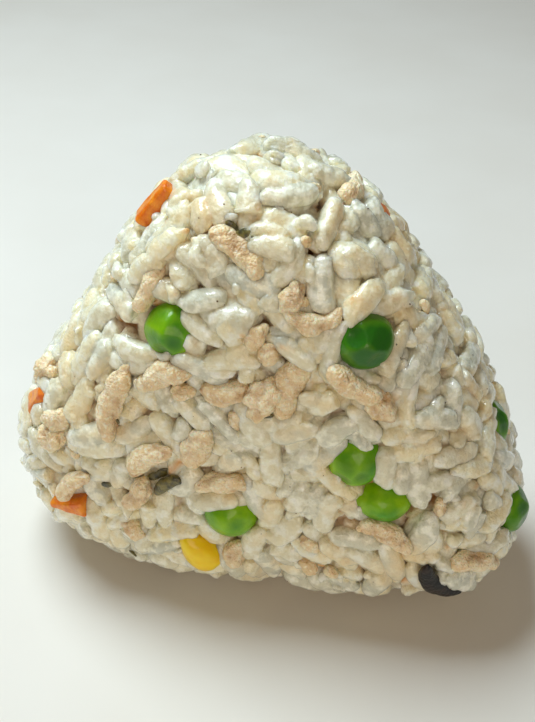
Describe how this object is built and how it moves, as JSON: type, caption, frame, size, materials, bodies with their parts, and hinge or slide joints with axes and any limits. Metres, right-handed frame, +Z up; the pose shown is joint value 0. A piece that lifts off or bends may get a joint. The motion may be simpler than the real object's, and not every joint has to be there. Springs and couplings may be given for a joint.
{
  "type": "onigiri rice ball",
  "caption": "Rounded triangular ball of pressed mixed rice that stands on its flattened base, with peas, sweetcorn, carrot, mince crumbs and mushroom strips in its surface.",
  "frame": {"origin": "on the table under the middle of the ball", "axes": "+X to the right as the front face is seen, +Y from the front face into the ball, +Z up"},
  "size_m": [0.0836, 0.0425, 0.0732],
  "materials": {
    "rice": "moist, slightly translucent ivory rice with a soft sheen",
    "pea": "glossy moist green skin",
    "mince": "matte, granular light tan",
    "mushroom": "moist, dark brown",
    "carrot": "moist orange",
    "sweetcorn": "glossy moist yellow"
  },
  "bodies": {
    "root": {"carrot_1": "carrot", "carrot_2": "carrot", "carrot_3": "carrot", "carrot_4": "carrot", "carrot_5": "carrot", "carrot_6": "carrot", "corn_1": "sweetcorn", "corn_2": "sweetcorn", "crumb_1": "mince", "crumb_10": "mince", "crumb_11": "mince", "crumb_12": "mince", "crumb_13": "mince", "crumb_14": "mince", "crumb_15": "mince", "crumb_16": "mince", "crumb_17": "mince", "crumb_18": "mince", "crumb_19": "mince", "crumb_2": "mince", "crumb_20": "mince", "crumb_3": "mince", "crumb_4": "mince", "crumb_5": "mince", "crumb_6": "mince", "crumb_7": "mince", "crumb_8": "mince", "crumb_9": "mince", "mushroom_1": "mushroom", "mushroom_2": "mushroom", "mushroom_3": "mushroom", "pea_1": "pea", "pea_10": "pea", "pea_11": "pea", "pea_2": "pea", "pea_3": "pea", "pea_4": "pea", "pea_5": "pea", "pea_6": "pea", "pea_7": "pea", "pea_8": "pea", "pea_9": "pea", "rice_ball": "rice"}
  },
  "joints": []
}
